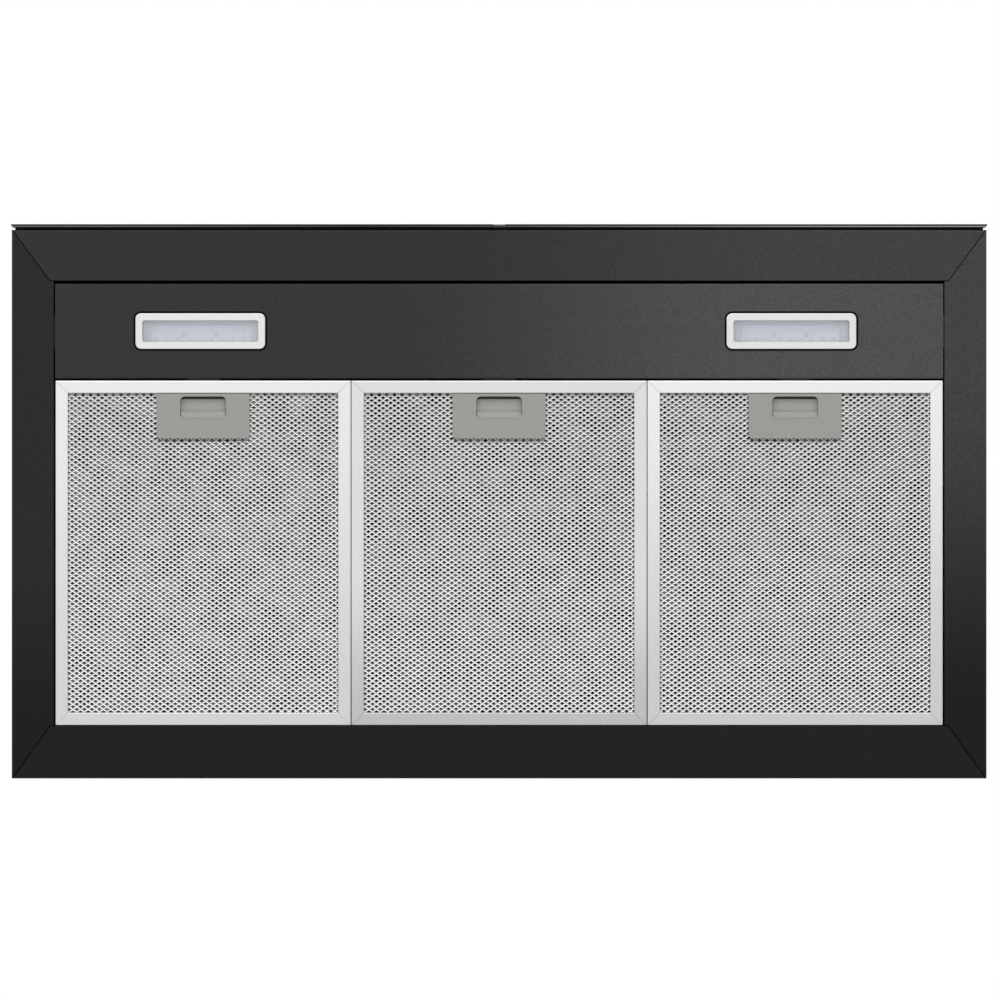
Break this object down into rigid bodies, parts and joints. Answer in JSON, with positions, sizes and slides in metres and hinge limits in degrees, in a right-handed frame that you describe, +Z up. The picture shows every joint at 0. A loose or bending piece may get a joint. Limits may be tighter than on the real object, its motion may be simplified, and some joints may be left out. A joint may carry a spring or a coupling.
{
  "type": "chimney range hood",
  "caption": "Wall chimney range hood: black folded canopy with glass front edge, swing-down latched mesh filters, strip lamps, centrifugal fan, damper collar and telescopic chimney.",
  "frame": {"origin": "centre of the four wall screw holes, on the wall plane", "axes": "+Z up, +Y into the wall (the front faces -Y), +X to the right for someone facing the hood"},
  "size_m": [0.901, 0.5117, 0.7361],
  "materials": {
    "black_paint": "fine textured black powder coat on steel sheet",
    "black_glass": "back printed black tempered glass, polished edges",
    "smoked_plastic": "smoked sensor window",
    "foam_tape": "black foam mounting tape",
    "circuit_board": "solder masked board",
    "satin_bezel": "white satin moulding",
    "clear_lens": "clear moulded lens",
    "white_plastic": "white moulded plastic",
    "led_board": "white board with light diodes",
    "aluminium": "mill finish aluminium",
    "spring_steel": "bright drawn steel",
    "grey_plastic": "grey moulded plastic",
    "screw_steel": "zinc plated steel",
    "galvanised_steel": "galvanised sheet",
    "black_plastic": "black moulded plastic",
    "fan_plastic": "dark grey moulded plastic",
    "motor_alloy": "cast motor can",
    "damper_plastic": "light grey moulded plastic",
    "capacitor_can": "drawn can"
  },
  "bodies": {
    "canopy": {"front_canopy_sheet": "black_paint", "left_canopy_sheet": "black_paint", "right_canopy_sheet": "black_paint", "back_panel": "black_paint", "glass_fascia": "black_glass", "sensor_window": "smoked_plastic", "fascia_tape": "foam_tape", "touch_board": "circuit_board", "lamp_panel": "black_paint", "fan_support_frame": "galvanised_steel", "fan_box": "galvanised_steel", "fan_box_front_cover": "galvanised_steel", "fan_box_rear_cover": "galvanised_steel", "scroll_front_half": "black_plastic", "scroll_rear_half": "black_plastic", "motor_body": "motor_alloy", "motor_bracket": "galvanised_steel", "outlet_collar": "black_plastic", "damper_pin": "spring_steel", "control_box": "white_plastic", "control_box_lid": "white_plastic", "mains_gland": "black_plastic", "run_capacitor": "capacitor_can", "lower_chimney_cover": "black_paint", "chimney_screws": "screw_steel", "fan_box_screws": "screw_steel", "collar_screws": "screw_steel", "lamp_bezel_left": "satin_bezel", "lamp_lens_left": "clear_lens", "lamp_housing_left": "white_plastic", "led_board_left": "led_board", "lamp_bezel_right": "satin_bezel", "lamp_lens_right": "clear_lens", "lamp_housing_right": "white_plastic", "led_board_right": "led_board"},
    "impeller": {"impeller": "fan_plastic", "motor_shaft": "spring_steel"},
    "damper_left": {"damper_flap_left": "damper_plastic"},
    "damper_right": {"damper_flap_right": "damper_plastic"},
    "upper_chimney": {"upper_chimney_cover": "black_paint", "chimney_wall_bracket": "galvanised_steel", "bracket_screws": "screw_steel"},
    "filter_left": {"filter_frame_left": "aluminium", "filter_mesh_left": "aluminium", "filter_core_left": "aluminium", "latch_cover_left": "grey_plastic", "latch_spring_left": "spring_steel"},
    "latch_left": {"latch_slider_left": "grey_plastic"},
    "filter_center": {"filter_frame_center": "aluminium", "filter_mesh_center": "aluminium", "filter_core_center": "aluminium", "latch_cover_center": "grey_plastic", "latch_spring_center": "spring_steel"},
    "latch_center": {"latch_slider_center": "grey_plastic"},
    "filter_right": {"filter_frame_right": "aluminium", "filter_mesh_right": "aluminium", "filter_core_right": "aluminium", "latch_cover_right": "grey_plastic", "latch_spring_right": "spring_steel"},
    "latch_right": {"latch_slider_right": "grey_plastic"}
  },
  "joints": [
    {"name": "filter_left_swing", "type": "hinge", "parent": "canopy", "child": "filter_left", "pos_m": [0, -0.047, -0.139], "axis": [1, 0, 0], "range_deg": [0, 75]},
    {"name": "latch_left_slide", "type": "slide", "parent": "filter_left", "child": "latch_left", "axis": [0, 1, 0], "range_m": [0, 0.006], "stiffness_N_per_m": 500, "springref_m": -0.004, "deforming": ["latch_spring_left"]},
    {"name": "filter_center_swing", "type": "hinge", "parent": "canopy", "child": "filter_center", "pos_m": [0, -0.047, -0.139], "axis": [1, 0, 0], "range_deg": [0, 75]},
    {"name": "latch_center_slide", "type": "slide", "parent": "filter_center", "child": "latch_center", "axis": [0, 1, 0], "range_m": [0, 0.006], "stiffness_N_per_m": 500, "springref_m": -0.004, "deforming": ["latch_spring_center"]},
    {"name": "filter_right_swing", "type": "hinge", "parent": "canopy", "child": "filter_right", "pos_m": [0, -0.047, -0.139], "axis": [1, 0, 0], "range_deg": [0, 75]},
    {"name": "latch_right_slide", "type": "slide", "parent": "filter_right", "child": "latch_right", "axis": [0, 1, 0], "range_m": [0, 0.006], "stiffness_N_per_m": 500, "springref_m": -0.004, "deforming": ["latch_spring_right"]},
    {"name": "impeller_spin", "type": "hinge", "parent": "canopy", "child": "impeller", "pos_m": [-0.038, -0.14, 0.257], "axis": [0, 1, 0], "continuous": true},
    {"name": "damper_left_swing", "type": "hinge", "parent": "canopy", "child": "damper_left", "pos_m": [0, -0.14, 0.416], "axis": [0, 1, 0], "range_deg": [0, 80]},
    {"name": "damper_right_swing", "type": "hinge", "parent": "canopy", "child": "damper_right", "pos_m": [0, -0.14, 0.416], "axis": [0, -1, 0], "range_deg": [0, 80]},
    {"name": "chimney_slide", "type": "slide", "parent": "canopy", "child": "upper_chimney", "axis": [0, 0, 1], "range_m": [0, 0.34]}
  ]
}
